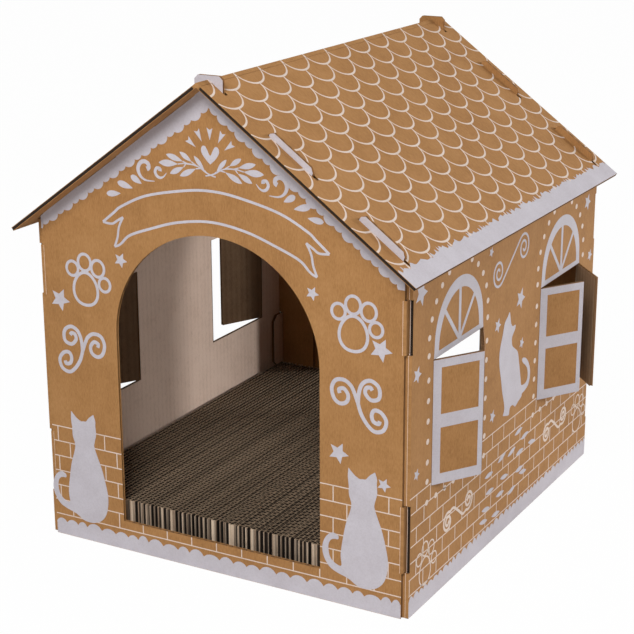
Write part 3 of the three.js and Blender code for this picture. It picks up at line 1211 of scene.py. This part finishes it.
def print_leaf(leaf):
    """White bars round the two panes of a shutter."""
    outer = outlines[leaf][0]
    wide, high = span(outer)[1], span(outer, 1)[1]
    edge = 0.1
    stile, meeting, top, middle, bottom = 7.4, 4.4, 6.6, 11, 8.6
    half = (high - top - bottom - middle) / 2
    rings = [rectangle(edge, edge, wide - edge, high - edge)]
    for low in (bottom, bottom + half + middle):
        rings.append(rectangle(stile, low, wide - meeting, low + half))
    ink = Drawing(leaf_face(leaf, SIDES[leaf.split("_")[0]]))
    ink.sheet(rings)
    ink.build(f"{leaf}_print", leaf, [ink_full])


for node in outlines:
    if node.endswith("_shutter"):
        print_leaf(node)


# Print of the roof

SCALE_WIDE = 35.65
SCALE_PITCH = 17.1
FIRST_ROW = 15.6
SNOW_DEEP = 17
SNOW_COVERS = 15.5


def draw_scales(ink):
    """Rows of rounded shingles as lines, thicker at the foot of each."""
    rows = ceil((SLOPE_LENGTH - FIRST_ROW) / SCALE_PITCH) + 1
    for row in range(-1, rows):
        foot = FIRST_ROW + SCALE_PITCH * row
        middle = (SCALE_WIDE / 2) * (row % 2) - 7 * SCALE_WIDE
        while middle < 240:
            arc = []
            wide = []
            for k in range(25):
                turn = pi * k / 24
                drop = sin(turn) ** 0.9
                across = middle + SCALE_WIDE / 2 * cos(turn)
                arc.append((across, foot - SCALE_PITCH * (1 - drop)))
                wide.append(1.1 + 0.8 * sin(turn) ** 2)
            ink.stroke(arc, wide)
            middle += SCALE_WIDE


def draw_eave_snow(ink, outer, rng):
    """Snow along the eave, its upper edge ragged."""
    left, right = span(outer)
    right = right - 0.1
    foot = span(outer, 1)[1] - 0.1
    left = place = left + 0.1
    edge = [(left, foot - SNOW_DEEP)]
    while place < right - 0.5:
        wide = min(rng.uniform(3, 6.5), right - place)
        line = foot - SNOW_DEEP - rng.uniform(-1.8, 1.8)
        if rng.random() < 0.55:
            edge.append((place + wide * 0.2, line - rng.uniform(1.5, 3.4)))
            edge.append((place + wide * 0.6, line + 0.6))
        edge.append((place + wide, line + rng.uniform(-1.2, 1.6)))
        place += wide
    edge[-1] = (right, edge[-1][1])
    ink.sheet([edge + [(right, foot), (left, foot)]])


def print_roof(side_name, side):
    """Shingles down to the snow, and the snow."""
    node = f"roof_{side_name}_panel"
    rings = outlines[node]
    outer = max(rings, key=lambda ring: span(ring, 1)[1])
    foot = span(outer, 1)[1] - 0.01
    left = span(outer)[0] + 0.01
    covered = rectangle(left, foot - SNOW_COVERS, -left, foot)
    lines = Drawing(roof_face(side), [*rings, covered])
    draw_scales(lines)
    lines.build(f"roof_{side_name}_shingles", node, [ink_line])
    snow = Drawing(roof_face(side))
    draw_eave_snow(snow, outer, random.Random(21 + side))
    snow.build(f"roof_{side_name}_snow", node, [ink_full])


for side_name, side in SIDES.items():
    print_roof(side_name, side)
    for node in RIDGE_NODES:
        lines = Drawing(roof_face(side), outline_on(node, roof_face(side)))
        draw_scales(lines)
        lines.build(f"{node}_{side_name}_shingles", node, [ink_line])


# Camera, where the photograph was taken

CAMERA_PLACE = Vector((0.67159, -1.23374, 0.60866))
CAMERA_AZIMUTH = 29.163
CAMERA_ELEVATION = 17.508
CAMERA_ROLL = radians(-0.1856)


def towards(azimuth, elevation):
    """The way out to that side and height, in degrees. Azimuth 0 is the front."""
    turn, rise = radians(azimuth), radians(elevation)
    level = cos(rise)
    return Vector((sin(turn) * level, -cos(turn) * level, sin(rise)))


camera_data = bpy.data.cameras.new("camera")
camera_data.lens = 94.459
camera_data.sensor_width = 36.0
camera = new_object("camera", camera_data)
look = -towards(CAMERA_AZIMUTH, CAMERA_ELEVATION)
camera.location = CAMERA_PLACE
camera.rotation_mode = "QUATERNION"
camera.rotation_quaternion = look.to_track_quat("-Z", "Y") @ Quaternion((0, 0, 1), CAMERA_ROLL)
bpy.context.scene.camera = camera


# White studio: what the camera sees of it is plain white

WHITE = (1.0, 1.0, 1.0, 1.0)
PAPER_WHITE = (0.82, 0.82, 0.82, 1.0)
AMBIENT = 0.035
FLOOR_GLOW = 0.985
FLOOR_REACH = 4.0
LAMP_AIM = Vector((0.0, 0.0, 0.18))


def seen_directly(finish):
    """1 on rays from the camera, from glossy surfaces and through clear ones."""
    names = ("Is Camera Ray", "Is Glossy Ray", "Is Transmission Ray")
    rays = [finish.add("ShaderNodeLightPath", {}, {}, name) for name in names]
    return rays[0].highest(rays[1]).highest(rays[2])


world = bpy.data.worlds.new("white_studio")
bpy.context.scene.world = world
sky = Finish(world)
seen = seen_directly(sky)
strength = seen + (1.0 - seen) * AMBIENT
sky_light = sky.add("ShaderNodeBackground", {}, {"Color": WHITE, "Strength": strength})
sky.add("ShaderNodeOutputWorld", {}, {"Surface": sky_light})


def make_floor():
    finish = Finish(bpy.data.materials.new("white_floor"))
    paper = finish.add("ShaderNodeBsdfDiffuse", {}, {"Color": PAPER_WHITE})
    glow = finish.add("ShaderNodeEmission", {}, {"Color": WHITE, "Strength": 1.0})
    share = seen_directly(finish) * FLOOR_GLOW
    mixed = finish.add("ShaderNodeMixShader", {}, {0: share, 1: paper, 2: glow})
    finish.add("ShaderNodeOutputMaterial", {}, {"Surface": mixed})
    mesh = bpy.data.meshes.new("floor")
    corners = rectangle(-FLOOR_REACH, -FLOOR_REACH, FLOOR_REACH, FLOOR_REACH)
    mesh.from_pydata([(x, y, 0) for x, y in corners], [], [(0, 1, 2, 3)])
    mesh.materials.append(finish.owner)
    floor = new_object("floor", mesh)
    floor.location.z = -0.0002


make_floor()


def add_lamp(name, azimuth, elevation, distance, size, power):
    """A soft square lamp, at that side and height, aimed at the house."""
    away = towards(azimuth, elevation)
    data = bpy.data.lights.new(name, "AREA")
    data.shape = "SQUARE"
    data.size = size
    data.energy = power
    lamp = new_object(name, data)
    lamp.location = LAMP_AIM + away * distance
    lamp.rotation_mode = "QUATERNION"
    lamp.rotation_quaternion = away.to_track_quat("Z", "Y")


add_lamp("front_softbox", 14, 41, 2.4, 1.0, 46)
add_lamp("rear_softbox", 128, 10, 2.6, 0.25, 23)
add_lamp("rear_wide_softbox", 147, 6, 2.6, 1.0, 20)

bpy.context.scene.view_settings.view_transform = "Standard"
